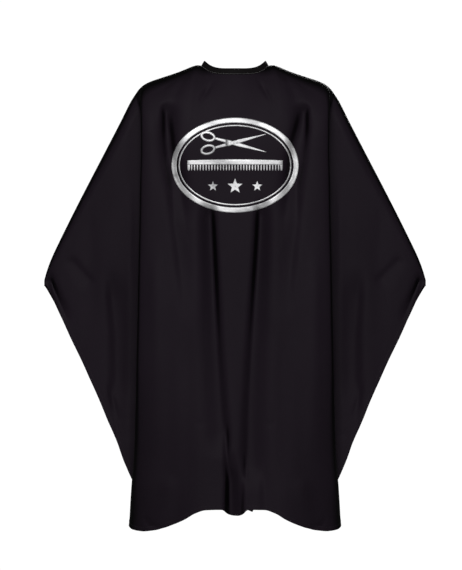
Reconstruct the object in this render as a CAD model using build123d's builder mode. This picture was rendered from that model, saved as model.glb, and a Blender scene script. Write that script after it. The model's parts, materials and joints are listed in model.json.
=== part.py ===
from build123d import *
from math import asin, cos, exp, radians, sin
import os

# A barber cape as it hangs on a wearer whose arms are held a little away from the sides.
# Millimetres. +X is the wearer's left, -Y the front and +Z up. The origin is the middle of the
# neck opening, level with the highest points of the neck band.

# ---------------------------------------------------------------- driving dimensions

cloth = 1.0              # thickness of each sheet of cloth
seam_gap = 1.5           # every sheet stops this far from the shoulder line it hangs from

neck_half_width = 77.0   # neck band mid-line, side to side
neck_half_depth = 65.0   # neck band mid-line, front to back
neck_drop = 23.0         # the band is lower at throat and nape than at the sides
band_height = 18.0
band_level = -10.0       # height of the band mid-line at the sides
band_lean = 30.0         # degrees: the band leans in towards the neck
band_leaf = 0.9          # thickness of one leaf of the folded band
band_hollow = 1.4        # space between the two leaves, for the interlining
band_thickness = 2 * band_leaf + band_hollow
interlining = 0.5
interlining_margin = 2.5  # the interlining stops this far inside the band's edges

chest_depth = 121.0      # front panel ahead of the neck's middle, at the chest
hem_depth = 150.0        # the same, at the front hem
back_depth = 120.0       # back panels behind the neck's middle
front_length = 1080.0    # depth of the front hem below the band's top, at the middle
corner_length = 1124.0   # the same, at the front hem's two corners
back_length = 700.0      # the back hem, at the slit
back_corner_length = 760.0

seam_reach = band_height / 2 + 3.5                       # from the band mid-line to the cloth's edge
seam_half_width = neck_half_width + seam_reach * sin(radians(band_lean))
seam_half_depth = neck_half_depth + seam_reach * sin(radians(band_lean))
seam_level = band_level - seam_reach * cos(radians(band_lean))

shoulder_half_width = 222.0
panel_edge = 234.0       # half width of the front panel down its rounded edges
panel_edge_depth = 58.0  # how far forward those edges stand
wing_start = 242.0       # each wing panel begins here and runs out to its tip
wing_tip_x = 454.0
wing_tip_length = 526.0
wing_side_slope = 2.297  # fall of the wing's front hem per unit towards the middle
wing_back_x = 330.0      # back corner of the wing's hem
wing_back_length = 790.0

# Along each wing: distance from the middle, height of the arm line, half thickness of the fold.
wing_stations = (
    (wing_start, -90.0, 38.0),
    (258.0, -118.0, 39.0),
    (280.0, -164.0, 39.0),
    (wing_back_x, -264.0, 36.0),
    (390.0, -383.0, 31.0),
    (435.0, -473.0, 24.0),
    (452.0, -505.0, 12.0),
)

lap_gap = 4.0            # space between the two lapped ends of the band, filled by the snap
lap_offset = band_thickness + lap_gap
under_end_angle = -18.0  # degrees round from the nape, + towards the wearer's left
leave_angle = -50.0      # the outer end leaves the ring here
lap_angle = -22.0        # and lies fully outside the under end from here on
tab_fold_angle = -15.2   # the tab folds back about this line
tab_end_angle = 13.0
band_clearance = 1.1     # degrees between the band's outer end and the tab's fold line
tab_clearance = 0.3      # degrees between the fold line and the tab
lining_clearance = 0.9   # degrees by which each interlining is shorter than its band
band_sections = 40       # sections that the band is lofted through, and the tab's
tab_sections = 5
stud_angles = (-6.0, 6.0, 18.0, 30.0, 42.0)
engaged_stud = 1

stud_radius = 1.9
stud_neck_radius = 1.6
stud_height = 2.9
flange_radius = 4.2
flange_thickness = 0.6
post_radius = 1.2
post_clearance = 0.06
seat = 0.15              # a flat snap part stands this far off the curved band
pierce_radius = 1.5      # hole that a post or a cap's stem makes in the cloth
cap_radius = 5.6
cap_height = 1.7
socket_radius = 4.9
socket_height = 2.6
socket_mouth = 2.45
socket_wall = 0.5
spring_wire = 0.5
spring_opening = 40.0    # degrees left open in the ring spring
cap_rim = 0.5

loop_angle = 24.0
loop_stand_off = 8.6     # from the band mid-line out to the loop
loop_width = 34.0
loop_drop = 30.0
tape_width = 6.0
tape = 1.2

label_width = 20.0
label_height = 30.0
label_thickness = 0.8
label_x = 36.0
label_tilt = 24.0
label_inset = 8.0        # behind the front of the hem
label_rise = 22.0         # the label's middle is this far above the hem, so most of it is hidden

print_half_width = 150.0
print_half_height = 112.0
print_level = -258.0
print_bar = 22.0         # height of the print's middle bar
print_rim = 12.0         # width of its oval rim
film = 0.3
film_gap = 1.0           # from the middle of the cloth to the middle of the film

os.makedirs("parts", exist_ok=True)


def finish(builder, name, color):
    """Label a finished piece, give it a plain colour and write its file."""
    builder.part.label = name
    builder.part.color = Color(*color)
    export_step(builder.part, f"parts/{name}.step")


cloth_color = (0.12, 0.10, 0.12)
band_color = (0.08, 0.07, 0.08)
lining_color = (0.85, 0.85, 0.82)
metal_color = (0.75, 0.76, 0.78)
film_color = (0.8, 0.8, 0.82)


# ---------------------------------------------------------------- cloth panels

# Each sheet is spread between two rails that run from the neck edge to the hem: one down the
# middle of the body, and one along the shoulder and then down the side.

with BuildLine() as front_middle:
    Spline(
        (0, -seam_half_depth, seam_level - neck_drop),
        (0, -106, -115),
        (0, -chest_depth, -230),
        (0, -137, -600),
        (0, -hem_depth, -front_length),
    )

with BuildLine() as front_side:
    Spline(
        (seam_half_width, -seam_gap, seam_level),
        (112, -seam_gap, -19),
        (140, -seam_gap, -28),
        (190, -seam_gap, -48),
        (shoulder_half_width - 2, -10, -67),
        (229, -36, -108),
        (panel_edge - 3, -panel_edge_depth + 4, -200),
        (panel_edge, -panel_edge_depth, -528),
        (panel_edge + 12, -panel_edge_depth, -1008),
        (panel_edge + 19, -panel_edge_depth - 2, -corner_length),
    )

with BuildLine() as back_middle:
    Spline(
        (0, seam_half_depth, seam_level - neck_drop),
        (0, 104, -110),
        (0, back_depth, -230),
        (0, back_depth + 2, -460),
        (0, back_depth + 3, -back_length),
    )

with BuildLine() as back_side:
    Spline(
        (seam_half_width, seam_gap, seam_level),
        (112, seam_gap, -19),
        (140, seam_gap, -28),
        (190, seam_gap, -48),
        (shoulder_half_width - 2, 8, -67),
        (shoulder_half_width, 30, -108),
        (shoulder_half_width, 38, -200),
        (shoulder_half_width, 38, -380),
        (shoulder_half_width, 38, -560),
        (shoulder_half_width, 38, -back_corner_length),
    )


def along(rail, share):
    """Point at a share of a rail's length."""
    edge = rail.edges()[0]
    return edge.position_at(share * edge.length, position_mode=PositionMode.LENGTH)


def spread(middle, side, angle, share):
    """Point of a sheet: angle 0 is on the middle rail and 90 degrees on the side rail.

    Level cuts are elliptical at the neck edge and squarer, with rounded edges, lower down.
    """
    m = along(middle, share)
    s = along(side, share)
    across = abs(sin(angle))
    x = s.X * sin(angle)
    roundness = 0.75 + 0.25 * exp(-share / 0.06)
    y = m.Y + (s.Y - m.Y) * (1 - cos(angle) ** roundness)
    z = m.Z + (s.Z - m.Z) * across ** (4 - 2 * share)
    return (x, y, z)


def sheet(middle, side, first_angle, last_angle, first_share=0.0, last_share=1.0, lift=0.0):
    """Smooth face over part of the surface between two rails, lifted outwards."""
    columns = 24
    rows = 24
    points = []
    for i in range(columns + 1):
        angle = radians(first_angle + (last_angle - first_angle) * i / columns)
        column = []
        for j in range(rows + 1):
            share = first_share + (last_share - first_share) * j / rows
            x, y, z = spread(middle, side, angle, share)
            column.append((x, y + lift, z))
        points.append(column)
    return Face.make_surface_from_array_of_points(points)


front_face = sheet(front_middle, front_side, -88.5, 88.5)
with BuildPart() as front_panel:
    thicken(front_face, amount=cloth / 2, both=True)
finish(front_panel, "front_panel", cloth_color)

left_back_face = sheet(back_middle, back_side, 2.5, 88.5)
with BuildPart() as left_back_panel:
    thicken(left_back_face, amount=cloth / 2, both=True)
finish(left_back_panel, "left_back_panel", cloth_color)

with BuildPart() as right_back_panel:
    mirror(left_back_panel.part, about=Plane.YZ)
finish(right_back_panel, "right_back_panel", cloth_color)


# A wing panel hangs over the arm: a front leaf, a fold over the arm line and a back leaf.

def front_hem(x):
    return -wing_tip_length - (wing_tip_x - x) * wing_side_slope


def back_hem(x):
    if x > wing_back_x:
        share = (wing_tip_x - x) / (wing_tip_x - wing_back_x)
        return -wing_tip_length - share * (wing_back_length - wing_tip_length)
    share = (wing_back_x - x) / (wing_back_x - wing_start)
    return -wing_back_length + share * (wing_back_length - back_corner_length)


with BuildPart() as left_wing_panel:
    for x, height, radius in wing_stations:
        inner = radius - cloth
        spring_line = height - radius
        with BuildSketch(Plane.YZ.offset(x)):
            with BuildLine():
                Line((-radius, front_hem(x)), (-radius, spring_line))
                ThreePointArc((-radius, spring_line), (0, height), (radius, spring_line))
                Line((radius, spring_line), (radius, back_hem(x)))
                Line((radius, back_hem(x)), (inner, back_hem(x)))
                Line((inner, back_hem(x)), (inner, spring_line))
                ThreePointArc((inner, spring_line), (0, height - cloth), (-inner, spring_line))
                Line((-inner, spring_line), (-inner, front_hem(x)))
                Line((-inner, front_hem(x)), (-radius, front_hem(x)))
            make_face()
    loft()
finish(left_wing_panel, "left_wing_panel", cloth_color)

with BuildPart() as right_wing_panel:
    mirror(left_wing_panel.part, about=Plane.YZ)
finish(right_wing_panel, "right_wing_panel", cloth_color)


# ---------------------------------------------------------------- neck band and closure tab

def outward_direction(nape_angle):
    """Level direction straight out of the ring, nape_angle degrees round from the nape."""
    turn = radians(nape_angle)
    return Vector(sin(turn) / neck_half_width, cos(turn) / neck_half_depth, 0).normalized()


def ring_point(nape_angle):
    """Point of the band's mid-line."""
    turn = radians(nape_angle)
    level = band_level - neck_drop * (1 - sin(turn) ** 4)
    return Vector(neck_half_width * sin(turn), neck_half_depth * cos(turn), level)


def up_direction(nape_angle):
    """Direction up the band, which leans in towards the neck."""
    lean = radians(band_lean)
    return Vector(0, 0, cos(lean)) - outward_direction(nape_angle) * sin(lean)


def ring_plane(nape_angle, outward=0.0, up=0.0):
    """Plane facing out of the band: x runs along the band and y up it."""
    along_band = (ring_point(nape_angle - 0.5) - ring_point(nape_angle + 0.5)).normalized()
    rise = up_direction(nape_angle)
    face = Plane(ring_point(nape_angle), x_dir=along_band, z_dir=along_band.cross(rise))
    return Plane(face.from_local_coords(Vector(0, up, outward)), x_dir=along_band, z_dir=face.z_dir)


def section_plane(nape_angle, outward):
    """Upright plane across the band: x points out of the band and y up it."""
    out = outward_direction(nape_angle)
    leaned = out * cos(radians(band_lean)) + Vector(0, 0, sin(radians(band_lean)))
    origin = ring_point(nape_angle) + leaned * outward
    return Plane(origin, x_dir=leaned, z_dir=leaned.cross(up_direction(nape_angle)))


def lap(nape_angle):
    """How far the band's outer end stands off the ring, on its way over the under end."""
    share = (nape_angle - 360 - leave_angle) / (lap_angle - leave_angle)
    share = min(max(share, 0.0), 1.0)
    return lap_offset * share * share * (3 - 2 * share)


def strip_planes(first_angle, last_angle, steps, stand_off):
    """Planes across a strip that follows the ring."""
    planes = []
    for i in range(steps + 1):
        nape_angle = first_angle + (last_angle - first_angle) * i / steps
        planes.append(section_plane(nape_angle, stand_off(nape_angle)))
    return planes


def over_the_lap(nape_angle):
    return lap_offset


def pierce(angles, outward):
    """Cut the hole that each snap's stem makes through the cloth."""
    for nape_angle in angles:
        with BuildSketch(ring_plane(nape_angle, outward - band_thickness)) as hole:
            Circle(pierce_radius)
        extrude(hole.sketch, amount=2 * band_thickness, mode=Mode.SUBTRACT)


half_band = band_thickness / 2
bottom = -band_height / 2
fold_level = band_height / 2 - half_band

band_end = 360 + tab_fold_angle - band_clearance
interlining_height = band_height - 2 * interlining_margin

with BuildPart() as neck_band:
    for plane in strip_planes(under_end_angle, band_end, band_sections, lap):
        with BuildSketch(plane):
            with BuildLine():
                Line((-half_band, bottom), (-half_band, fold_level))
                ThreePointArc((-half_band, fold_level), (0, band_height / 2), (half_band, fold_level))
                Line((half_band, fold_level), (half_band, bottom))
                Line((half_band, bottom), (band_hollow / 2, bottom))
                Line((band_hollow / 2, bottom), (band_hollow / 2, fold_level))
                ThreePointArc(
                    (band_hollow / 2, fold_level),
                    (0, fold_level + band_hollow / 2),
                    (-band_hollow / 2, fold_level),
                )
                Line((-band_hollow / 2, fold_level), (-band_hollow / 2, bottom))
                Line((-band_hollow / 2, bottom), (-half_band, bottom))
            make_face()
    loft()
    pierce(stud_angles, 0)
finish(neck_band, "neck_band", band_color)

lining_angles = (under_end_angle + lining_clearance, band_end - lining_clearance)

with BuildPart() as band_interlining:
    for plane in strip_planes(*lining_angles, band_sections, lap):
        with BuildSketch(plane):
            Rectangle(interlining, interlining_height)
    loft()
    pierce(stud_angles, 0)
finish(band_interlining, "band_interlining", lining_color)

snap_angle = stud_angles[engaged_stud]
tab_angles = (tab_fold_angle + tab_clearance, tab_end_angle)
tab_lining_angles = (tab_angles[0] + lining_clearance, tab_end_angle - lining_clearance)

with BuildPart() as closure_tab:
    for plane in strip_planes(*tab_angles, tab_sections, over_the_lap):
        with BuildSketch(plane):
            Rectangle(band_thickness, band_height)
    loft()
    for plane in strip_planes(*tab_angles, tab_sections, over_the_lap):
        with BuildSketch(plane):
            Rectangle(band_hollow, band_height - 2 * band_leaf)
    loft(mode=Mode.SUBTRACT)
    pierce((snap_angle,), lap_offset)
finish(closure_tab, "closure_tab", band_color)

with BuildPart() as tab_interlining:
    for plane in strip_planes(*tab_lining_angles, tab_sections, over_the_lap):
        with BuildSketch(plane):
            Rectangle(interlining, interlining_height)
    loft()
    pierce((snap_angle,), lap_offset)
finish(tab_interlining, "tab_interlining", lining_color)


# ---------------------------------------------------------------- snap fasteners

def turned_plane(nape_angle, outward):
    """Plane through a snap's axis, for a profile turned about it: y runs out of the band."""
    face = ring_plane(nape_angle, outward)
    return Plane(face.origin, x_dir=face.x_dir, z_dir=face.x_dir.cross(face.z_dir))


def turned(nape_angle, outward, outline):
    """Turn a profile of (radius, height) points about a snap's axis."""
    plane = turned_plane(nape_angle, outward)
    with BuildSketch(plane) as profile:
        with BuildLine():
            Polyline(*outline, close=True)
        make_face()
    revolve(profile.sketch, axis=Axis(plane.origin, plane.y_dir))


rivet_depth = stud_height - 0.5
bore_radius = post_radius + post_clearance
post_length = flange_thickness + band_thickness + 2 * seat + rivet_depth - 0.2

for number, stud_angle in enumerate(stud_angles, start=1):
    with BuildPart() as stud:
        turned(
            stud_angle,
            half_band + seat,
            (
                (bore_radius, 0),
                (flange_radius, 0),
                (flange_radius, flange_thickness),
                (stud_neck_radius, flange_thickness),
                (stud_neck_radius, flange_thickness + 0.4),
                (stud_radius, flange_thickness + 0.7),
                (stud_radius, stud_height - 0.4),
                (stud_radius - 0.4, stud_height),
                (0, stud_height),
                (0, rivet_depth),
                (bore_radius, rivet_depth),
            ),
        )
    finish(stud, f"stud_{number}", metal_color)

    with BuildPart() as stud_post:
        turned(
            stud_angle,
            -half_band - seat - flange_thickness,
            (
                (0, 0),
                (flange_radius, 0),
                (flange_radius, flange_thickness),
                (post_radius, flange_thickness),
                (post_radius, post_length),
                (0, post_length),
            ),
        )
    finish(stud_post, f"stud_post_{number}", metal_color)

tab_inside = lap_offset - half_band - seat
tab_outside = lap_offset + half_band + seat
groove_radius = socket_mouth + spring_wire * 0.7

with BuildPart() as snap_socket:
    turned(
        snap_angle,
        tab_inside - socket_height,
        (
            (socket_mouth, 0),
            (socket_radius - 0.5, 0),
            (socket_radius, 0.5),
            (socket_radius, socket_height),
            (bore_radius, socket_height),
            (bore_radius, socket_height - socket_wall),
            (groove_radius, socket_height - socket_wall),
            (groove_radius, socket_wall),
            (socket_mouth, socket_wall),
        ),
    )
finish(snap_socket, "snap_socket", metal_color)

spring_plane = turned_plane(snap_angle, tab_inside - socket_height + socket_wall + spring_wire)
with BuildPart() as socket_spring:
    with BuildSketch(spring_plane):
        with Locations((groove_radius - spring_wire * 0.6, 0)):
            Circle(spring_wire / 2)
    spring_axis = Axis(spring_plane.origin, spring_plane.y_dir)
    revolve(axis=spring_axis, revolution_arc=360 - spring_opening)
finish(socket_spring, "socket_spring", metal_color)

dome_height = cap_height - cap_rim
dome_radius = (cap_radius**2 + dome_height**2) / (2 * dome_height)
half_turn = asin(cap_radius / dome_radius) / 2
dome_middle = (dome_radius * sin(half_turn), cap_height - dome_radius * (1 - cos(half_turn)))

with BuildPart() as snap_cap:
    cap_plane = turned_plane(snap_angle, tab_outside)
    with BuildSketch(cap_plane):
        with BuildLine():
            stem_end = -band_thickness - 2 * seat - socket_wall + 0.05
            Line((0, stem_end), (post_radius, stem_end))
            Line((post_radius, stem_end), (post_radius, 0))
            Line((post_radius, 0), (cap_radius, 0))
            Line((cap_radius, 0), (cap_radius, cap_rim))
            ThreePointArc((cap_radius, cap_rim), dome_middle, (0, cap_height))
            Line((0, cap_height), (0, stem_end))
        make_face()
    revolve(axis=Axis(cap_plane.origin, cap_plane.y_dir))
finish(snap_cap, "snap_cap", metal_color)


# ---------------------------------------------------------------- loop, label and print

loop_plane = ring_plane(loop_angle, loop_stand_off, -band_height / 2 - 2)
with BuildPart() as hanging_loop:
    with BuildSketch(loop_plane):
        with Locations((0, -loop_drop / 2)):
            RectangleRounded(loop_width, loop_drop, tape_width)
            RectangleRounded(
                loop_width - 2 * tape_width,
                loop_drop - 2 * tape_width,
                tape_width / 3,
                mode=Mode.SUBTRACT,
            )
    extrude(amount=tape)
finish(hanging_loop, "hanging_loop", band_color)

label_plane = Plane(
    (label_x, -hem_depth + label_inset, -front_length + label_rise),
    x_dir=(cos(radians(label_tilt)), 0, -sin(radians(label_tilt))),
    z_dir=(0, -1, 0),
)
with BuildPart() as care_label:
    with BuildSketch(label_plane):
        Rectangle(label_width, label_height)
    extrude(amount=label_thickness)
finish(care_label, "care_label", band_color)

film_face = sheet(front_middle, front_side, -50, 50, 0.03, 0.4, -film_gap)
with BuildPart() as chest_print:
    thicken(film_face, amount=film / 2, both=True)
    with BuildSketch(Plane.XZ.offset(-2 * hem_depth)):
        with Locations((0, print_level)):
            Ellipse(print_half_width, print_half_height)
            Ellipse(
                print_half_width - print_rim,
                print_half_height - print_rim,
                mode=Mode.SUBTRACT,
            )
            Rectangle(2 * print_half_width - print_rim, print_bar)
    extrude(amount=4 * hem_depth, mode=Mode.INTERSECT)
finish(chest_print, "chest_print", film_color)
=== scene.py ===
import json
from math import asin, cos, pi, radians, sin, sqrt

import bpy
import numpy as np
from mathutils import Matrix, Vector
from mathutils.bvhtree import BVHTree

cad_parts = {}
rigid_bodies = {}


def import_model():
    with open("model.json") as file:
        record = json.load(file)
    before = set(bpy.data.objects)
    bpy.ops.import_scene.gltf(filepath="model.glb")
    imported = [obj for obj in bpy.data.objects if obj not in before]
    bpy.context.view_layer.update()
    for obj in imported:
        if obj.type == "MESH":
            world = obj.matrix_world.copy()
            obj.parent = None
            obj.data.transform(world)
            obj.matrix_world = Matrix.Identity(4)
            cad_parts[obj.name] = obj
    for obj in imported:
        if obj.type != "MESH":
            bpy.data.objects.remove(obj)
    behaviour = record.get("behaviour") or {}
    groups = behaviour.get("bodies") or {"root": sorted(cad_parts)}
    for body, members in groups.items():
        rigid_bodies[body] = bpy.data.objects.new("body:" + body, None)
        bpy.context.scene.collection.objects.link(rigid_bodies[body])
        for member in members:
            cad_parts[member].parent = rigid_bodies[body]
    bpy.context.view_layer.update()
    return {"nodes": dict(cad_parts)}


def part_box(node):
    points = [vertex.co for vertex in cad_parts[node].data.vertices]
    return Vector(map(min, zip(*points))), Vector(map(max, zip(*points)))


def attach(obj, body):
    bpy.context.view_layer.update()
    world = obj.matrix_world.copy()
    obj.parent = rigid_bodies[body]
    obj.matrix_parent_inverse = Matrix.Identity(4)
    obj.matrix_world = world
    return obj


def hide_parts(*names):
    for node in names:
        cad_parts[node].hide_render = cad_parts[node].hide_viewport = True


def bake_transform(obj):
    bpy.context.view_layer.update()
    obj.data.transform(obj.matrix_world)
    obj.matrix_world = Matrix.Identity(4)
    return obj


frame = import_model()

# Sizes in this script are millimetres in the row frame, and become metres when a mesh is made.
# +X is the wearer's left, -Y the front and +Z up.
MM = 0.001


# ---- curves

def smooth_curve(points):
    """Curve through (position, value) points that never overshoots them (monotone cubic)."""
    t = np.array([p[0] for p in points], float)
    v = np.array([p[1] for p in points], float)
    step = np.diff(t)
    slope = np.diff(v) / step
    tangent = np.zeros(len(t))
    tangent[0] = slope[0]
    tangent[-1] = slope[-1]
    for i in range(1, len(t) - 1):
        if slope[i - 1] * slope[i] > 0:
            before = 2 * step[i] + step[i - 1]
            after = step[i] + 2 * step[i - 1]
            tangent[i] = (before + after) / (before / slope[i - 1] + after / slope[i])

    def value(at):
        at = np.clip(np.asarray(at, float), t[0], t[-1])
        i = np.clip(np.searchsorted(t, at, side="right") - 1, 0, len(t) - 2)
        h = step[i]
        s = (at - t[i]) / h
        return (
            (1 + 2 * s) * (1 - s) ** 2 * v[i]
            + s * (1 - s) ** 2 * h * tangent[i]
            + s * s * (3 - 2 * s) * v[i + 1]
            + s * s * (s - 1) * h * tangent[i + 1]
        )

    return value


def ease(value, start, end):
    """0 before start, 1 after end, smooth between."""
    s = np.clip((np.asarray(value, float) - start) / (end - start), 0, 1)
    return s * s * (3 - 2 * s)


# ---- the cape's own measures

RING_HALF_WIDTH = 77.0  # neck band mid-line, side to side
RING_HALF_DEPTH = 65.0
RING_LEVEL = -10.0
RING_DROP = 23.0  # the band is lower at throat and nape
BAND_LEAN = radians(30)  # it leans in towards the neck
BAND_HALF = 1.6  # half its thickness
BAND_HALF_HEIGHT = 9.0
BAND_COVERED = 3.4  # how much more of the band the cloth covers at the sides
SEAM_DROP = 0.2  # from the band's lower edge down to the seam

TIP_X = 457.0  # wing tip
SHOULDER_X = 226.0  # where the wing leaves the body
WING_ROOT = 12.0  # width of the turned-back cloth along the shoulder line
NECK_SHARE = 28 / 90  # share of the panel's columns that start at the neck
SLIT_ANGLE = 2.5  # degrees from the nape to the edge of the back slit


def ring_frame(angle, outward=0.0):
    """Point of the band's mid-line, with the directions out of the band and up it. Angle 0 is the nape."""
    turn = radians(angle)
    out = np.array([sin(turn) / RING_HALF_WIDTH, cos(turn) / RING_HALF_DEPTH, 0.0])
    out /= np.linalg.norm(out)
    up = np.array([0, 0, cos(BAND_LEAN)]) - out * sin(BAND_LEAN)
    leaned = out * cos(BAND_LEAN) + np.array([0, 0, sin(BAND_LEAN)])
    level = RING_LEVEL - RING_DROP * (1 - sin(turn) ** 4)
    point = np.array([RING_HALF_WIDTH * sin(turn), RING_HALF_DEPTH * cos(turn), level])
    return point + leaned * outward, leaned, up


def band_foot(angle):
    """How far below the mid-line the band's lower edge lies. The cloth covers more of it at the sides."""
    return -BAND_HALF_HEIGHT + BAND_COVERED * abs(sin(radians(angle))) ** 6


def seam_point(angle):
    origin, _, up = ring_frame(angle)
    return origin + up * (band_foot(angle) - SEAM_DROP)


SEAM_X, _, SEAM_Z = seam_point(90)

# Lines of the hanging cloth. The shoulder line, the wing's fold and the hems go by distance from
# the middle, and the others go by height.
ridge = smooth_curve([
    (SEAM_X, SEAM_Z), (84, -13.4), (91, -13.2), (102, -16.2), (119, -23.2), (136, -29.8), (157, -37),
    (179, -44.2), (200, -51.4), (215, -58.4), (224.5, -65.4), (232, -73), (236.8, -80), (241.5, -87),
    (246.5, -94.5), (272.5, -145.5), (419, -432), (440.5, -478), (450, -503), (457, -527),
])
panel_edge = smooth_curve([
    (-1124, 253), (-1060, 249), (-1013, 245.5), (-941, 239.5), (-821, 235.5), (-629, 230.8), (-485, 228.2),
    (-389, 226), (-300, 224.6), (-221, 222.6), (-149, 222.4), (-91, 224.5),
])
front_depth = smooth_curve([(-1080, 150), (-600, 137), (-230, 121), (-60, 116)])
back_depth = smooth_curve([(-700, 123), (-460, 122), (-230, 120), (-60, 116)])
fold_radius = smooth_curve([
    (240, 36), (258, 40), (280, 41), (330, 37), (390, 31), (430, 24), (448, 14), (454, 7),
])
front_hem = smooth_curve([
    (0, -1082), (8, -1081.5), (16, -1078), (22, -1071.5), (26, -1067.5), (33, -1066), (68, -1067),
    (92, -1075), (116, -1090), (140, -1102), (162, -1111), (190, -1118.5), (212, -1121.5),
    (234, -1120), (246, -1113), (253, -1101),
])
back_hem = smooth_curve([
    (0, -700), (120, -712), (222, -742), (242, -757), (312, -784), (323, -774), (457, -541),
])
wing_hem = smooth_curve([
    (238, -1014), (244, -1007), (249, -997), (256, -981.5), (266, -957.5), (282.7, -910), (304, -862.5),
    (323.3, -814.5), (345, -766.5), (366.5, -719), (390, -671), (412, -623), (434, -575), (448, -546),
    (457, -533),
])
# How square the front's level cuts are, by height: smaller is squarer. The back's stays the same.
front_squareness = smooth_curve([(-1070, 1.0), (-940, 0.8), (-830, 0.5), (-700, 0.27), (-60, 0.25)])
BACK_SQUARENESS = 0.56
WING_HEM_SLOPE = 2.2
FRONT_CORNER, WING_CORNER = 253, 238  # where the two hems meet the turned-back cloth
CORNER_X, CORNER_SLOPE = 249.0, 0.5  # from here out the front hem counts as this steep
FRONT_SIDE = 58.0  # from the middle plane forwards to the front's side edges
BACK_SIDE = 40.0  # and backwards to the back's
EDGE_CURL, CURL_LEVELS = 24.0, (1000, 1110)  # the front's side edges curl back near the hem
WING_DRAWN_IN, DRAWN_LEVELS = 14.0, (650, 980)  # the wing runs in behind the panel low down
SLIT_HALF, SLIT_SPREAD, SLIT_LEVELS = 5.0, 9.0, (150, 700)  # the back slit widens on its way down
TUCK_LEVELS = (92, 200)  # the cloth starts to turn back on itself below the shoulder
ARCH_MIDDLE, ARCH_SIDE, ARCH_WING = 225.0, 120.0, 55.0  # height in which the cloth curves down
ARCH_OF_FOLD = 1.35  # the same for the wing, by the radius of its fold
ARCH_EASED = 0.6  # how much of an arch's way outwards starts and ends gently
NEAR_HEM = -1000.0  # level where a column's distance out at its hem is taken
SHORTEST_LEG = 6.0
HEM_PART = 24.0  # a hem's rows take up at most 12.2 parts in 24 of a column's straight leg

# Under each side of the front panel the cloth turns back on itself and then runs out to the
# wing. Offsets from the panel's rounded edge: outwards, and away from the front.
TUCK_OUT = 8.0
TUCK_DROP = 22.0
BACK_TUCK_DROP = 4.0  # the back's cloth goes straight on to the wing
TUCK = [
    (0, 0), (-2.0, 7), (-7, 12), (-13, 14.5), (-18.5, 15.8), (-21, 17.6), (-18.5, 19.4), (-12, 20.6),
    (-3, 21.6), (TUCK_OUT, TUCK_DROP),
]
TUCK_OPEN = [
    (0, 0), (0.6, 2.5), (1.4, 5), (2.2, 7.5), (3.0, 10), (3.8, 12.5), (4.8, 15), (5.8, 17.5), (6.8, 20),
    (TUCK_OUT, TUCK_DROP),
]


def offset_curves(tuck):
    """Offsets out and back along a turned-back edge, each by share of its length."""
    last = len(tuck) - 1
    return [smooth_curve([(i / last, offset[axis]) for i, offset in enumerate(tuck)]) for axis in (0, 1)]


tuck_out, tuck_back = offset_curves(TUCK)
open_out, open_back = offset_curves(TUCK_OPEN)

PANEL_COLUMNS = 100
TUCK_COLUMNS = 18
WING_COLUMNS = 40
ARCH_ROWS = 36  # rows that curve down from the shoulder
LEG_ROWS = 120  # rows that hang below them
HEM_ROWS = [0.0, 0.8, 5.5, 11.0, 12.2]  # distances of the last rows from a hem's edge


def column_table(back):
    """Columns of one side, from the middle outwards: kind and place within its kind."""
    columns = [("panel", i / PANEL_COLUMNS) for i in range(PANEL_COLUMNS + 1)]
    if back:  # the slit's edge is hemmed, so its columns stand close
        for i in range(1, len(HEM_ROWS)):
            columns[i] = ("panel", HEM_ROWS[i] / (SHOULDER_X * pi / 2))
    columns += [("tuck", (i + 1) / TUCK_COLUMNS) for i in range(TUCK_COLUMNS)]
    columns += [("wing", (i + 1) / WING_COLUMNS) for i in range(WING_COLUMNS)]
    return columns


def low_place(kind, share, z, back):
    """Where a column hangs at level z: distance out, and distance from the middle plane."""
    edge = SHOULDER_X if back else panel_edge(z)
    side = BACK_SIDE if back else FRONT_SIDE - EDGE_CURL * ease(-z, *CURL_LEVELS)
    drawn_in = WING_DRAWN_IN * ease(-z, *DRAWN_LEVELS)
    if kind == "panel":
        turn = share * pi / 2
        slit = SLIT_HALF + SLIT_SPREAD * ease(-z, *SLIT_LEVELS) if back else 0.0
        depth = back_depth(z) if back else front_depth(z)
        squareness = BACK_SQUARENESS if back else front_squareness(z)
        return slit * (1 - share) + edge * sin(turn), depth + (side - depth) * (1 - cos(turn) ** squareness)
    if kind == "tuck" and back:
        return edge + open_out(share), side - open_back(share) * BACK_TUCK_DROP / TUCK_DROP
    if kind == "tuck":
        grown = ease(-z, *TUCK_LEVELS)
        out = edge + open_out(share) * (1 - grown) + tuck_out(share) * grown
        drop = open_back(share) * (1 - grown) + tuck_back(share) * grown
        return out - drawn_in * ease(share, 0.5, 1), side - drop
    start = edge + TUCK_OUT - drawn_in
    x = start + share * (TIP_X - start)
    return x, fold_radius(x)


def hem_slope(kind, share, x, back):
    """How much longer a hem's width is when measured straight up than square to the hem."""
    if back:
        fall = float(back_hem(x + 2) - back_hem(x - 2)) / 4
    elif kind == "panel":
        fall = float(front_hem(x + 2) - front_hem(x - 2)) / 4 if x < CORNER_X else CORNER_SLOPE
    else:
        fall = WING_HEM_SLOPE * (1.0 if kind == "wing" else share)
    return sqrt(1 + fall * fall)


def column_top(kind, share, back):
    """Upper end of a column, on the neck seam or the shoulder line."""
    if kind == "panel" and share < NECK_SHARE:
        first_angle = SLIT_ANGLE if back else 0.0
        around = first_angle + (90 - first_angle) * share / NECK_SHARE
        x, y, z = seam_point(around if back else 180 - around)
        return x, abs(y), z
    if kind == "panel":
        first = sin(NECK_SHARE * pi / 2)
        out = (sin(share * pi / 2) - first) / (1 - first)
        x = SEAM_X + (SHOULDER_X - SEAM_X) * out
    elif kind == "tuck":
        x = SHOULDER_X + share * WING_ROOT
    else:
        x = SHOULDER_X + WING_ROOT + share * (TIP_X - SHOULDER_X - WING_ROOT)
    return x, 0.0, float(ridge(x))


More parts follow.
